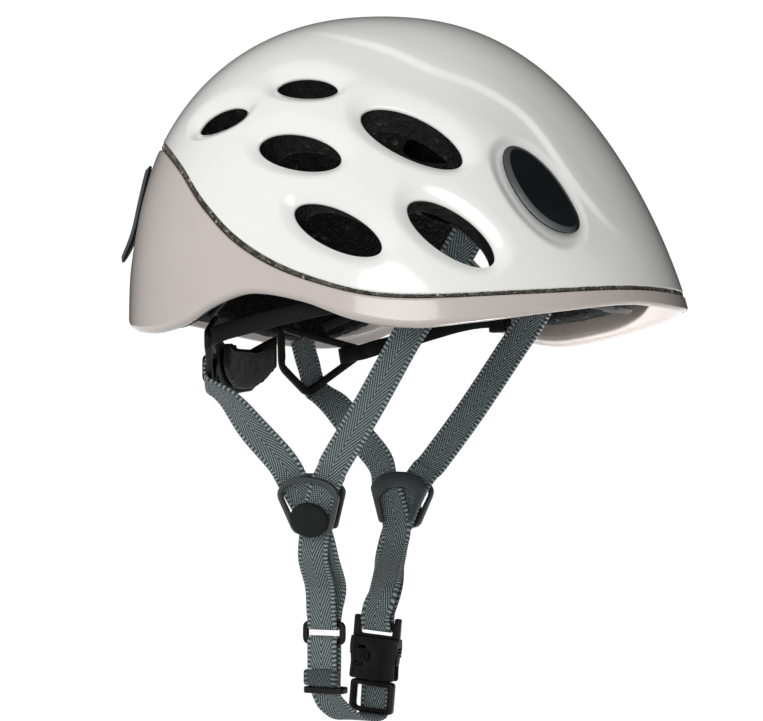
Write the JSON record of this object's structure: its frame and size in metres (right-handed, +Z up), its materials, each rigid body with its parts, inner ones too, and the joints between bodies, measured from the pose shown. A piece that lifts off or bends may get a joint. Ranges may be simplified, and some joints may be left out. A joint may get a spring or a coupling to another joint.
{
  "type": "climbing helmet",
  "caption": "Vented climbing helmet with a two-part glossy shell, foam liner, headlamp clips, nape cradle with size wheel, side strap dividers and a squeeze-release chin buckle.",
  "frame": {"origin": "on the mid-plane, midway between the brow and the rear edge, at the height of the front rim", "axes": "+Z up through the crown, -Y to the front (brow), +X to the wearer's left"},
  "size_m": [0.2188, 0.2697, 0.3325],
  "materials": {
    "shell_upper": "glossy moulded white",
    "shell_lower": "glossy moulded warm grey-white",
    "foam": "moulded bead foam, dark grey",
    "hardware": "satin black moulded plastic",
    "divider_grey": "satin dark grey moulded plastic",
    "webbing": "grey woven strap",
    "harness": "flexible satin black plastic",
    "padding": "brushed dark fabric over foam"
  },
  "bodies": {
    "root": {"upper_shell": "shell_upper", "lower_shell": "shell_lower", "foam_liner": "foam", "pad_brow": "padding", "pad_rear": "padding", "pad_crown": "padding", "chin_slider": "hardware", "strap_keeper": "hardware", "chin_strap_tail": "webbing", "strap_end_tab": "webbing", "buckle_female": "hardware", "lamp_clip_base_front_right": "hardware", "lamp_clip_base_rear_right": "hardware", "webbing_right": "webbing", "strap_anchor_right": "hardware", "divider_frame_right": "divider_grey", "divider_back_right": "divider_grey", "nape_hanger_rear_right": "harness", "nape_hanger_side_right": "harness", "temple_guide_right": "harness", "lamp_clip_base_front_left": "hardware", "lamp_clip_base_rear_left": "hardware", "webbing_left": "webbing", "strap_anchor_left": "hardware", "divider_frame_left": "divider_grey", "divider_back_left": "divider_grey", "nape_hanger_rear_left": "harness", "nape_hanger_side_left": "harness", "temple_guide_left": "harness"},
    "lamp_clip_front_right": {"lamp_clip_front_right": "hardware"},
    "lamp_clip_front_left": {"lamp_clip_front_left": "hardware"},
    "lamp_clip_rear_right": {"lamp_clip_rear_right": "hardware"},
    "lamp_clip_rear_left": {"lamp_clip_rear_left": "hardware"},
    "divider_cap_right": {"divider_cap_right": "hardware"},
    "divider_cap_left": {"divider_cap_left": "hardware"},
    "buckle_male": {"buckle_male": "hardware", "buckle_strap": "webbing"},
    "buckle_prong_front": {"buckle_prong_front": "hardware"},
    "buckle_prong_rear": {"buckle_prong_rear": "hardware"},
    "nape_cradle": {"nape_cradle": "harness", "nape_pad": "padding", "nape_bracket_right": "harness", "nape_bracket_left": "harness", "head_band_right": "harness", "head_band_left": "harness", "wheel_pin": "harness", "wheel_bridge": "harness"},
    "size_wheel": {"size_wheel": "harness"}
  },
  "joints": [
    {"name": "lamp_clip_front_right_flex", "type": "hinge", "parent": "root", "child": "lamp_clip_front_right", "pos_m": [-0.06212, -0.07763, 0.06864], "axis": [-0.7638, 0.4624, -0.4502], "range_deg": [0, 8], "stiffness_Nm_per_rad": 0.06},
    {"name": "lamp_clip_front_left_flex", "type": "hinge", "parent": "root", "child": "lamp_clip_front_left", "pos_m": [0.06212, -0.07763, 0.06864], "axis": [-0.7638, -0.4624, 0.4502], "range_deg": [0, 8], "stiffness_Nm_per_rad": 0.06},
    {"name": "lamp_clip_rear_right_flex", "type": "hinge", "parent": "root", "child": "lamp_clip_rear_right", "pos_m": [-0.04162, 0.11278, 0.07225], "axis": [0.8833, 0.4688, 0], "range_deg": [0, 8], "stiffness_Nm_per_rad": 0.06},
    {"name": "lamp_clip_rear_left_flex", "type": "hinge", "parent": "root", "child": "lamp_clip_rear_left", "pos_m": [0.04162, 0.11278, 0.07225], "axis": [0.8833, -0.4688, 0], "range_deg": [0, 8], "stiffness_Nm_per_rad": 0.06},
    {"name": "divider_cap_right_swing", "type": "hinge", "parent": "root", "child": "divider_cap_right", "pos_m": [-0.05196, 0.0228, -0.10001], "axis": [0, -1, 0], "range_deg": [0, 60]},
    {"name": "divider_cap_left_swing", "type": "hinge", "parent": "root", "child": "divider_cap_left", "pos_m": [0.05196, 0.0228, -0.10001], "axis": [0, 1, 0], "range_deg": [0, 60]},
    {"name": "buckle_release", "type": "slide", "parent": "root", "child": "buckle_male", "axis": [0, 0.0872, -0.9962], "range_m": [0, 0.025]},
    {"name": "buckle_prong_front_squeeze", "type": "hinge", "parent": "buckle_male", "child": "buckle_prong_front", "pos_m": [0.0105, 0.01354, -0.17033], "axis": [-1, 0, 0], "range_deg": [0, 6], "stiffness_Nm_per_rad": 0.03},
    {"name": "buckle_prong_rear_squeeze", "type": "hinge", "parent": "buckle_male", "child": "buckle_prong_rear", "pos_m": [0.0105, 0.02669, -0.16918], "axis": [1, 0, 0], "range_deg": [0, 6], "stiffness_Nm_per_rad": 0.03},
    {"name": "nape_fit", "type": "slide", "parent": "root", "child": "nape_cradle", "axis": [0, -1, 0], "range_m": [0, 0.01]},
    {"name": "size_wheel_turn", "type": "hinge", "parent": "nape_cradle", "child": "size_wheel", "pos_m": [0, 0.0936, -0.021], "axis": [0, 1, 0], "range_deg": [0, 180]}
  ],
  "couplings": [
    {"joint": "size_wheel_turn", "follows": "nape_fit", "rad_per_m": 300}
  ]
}
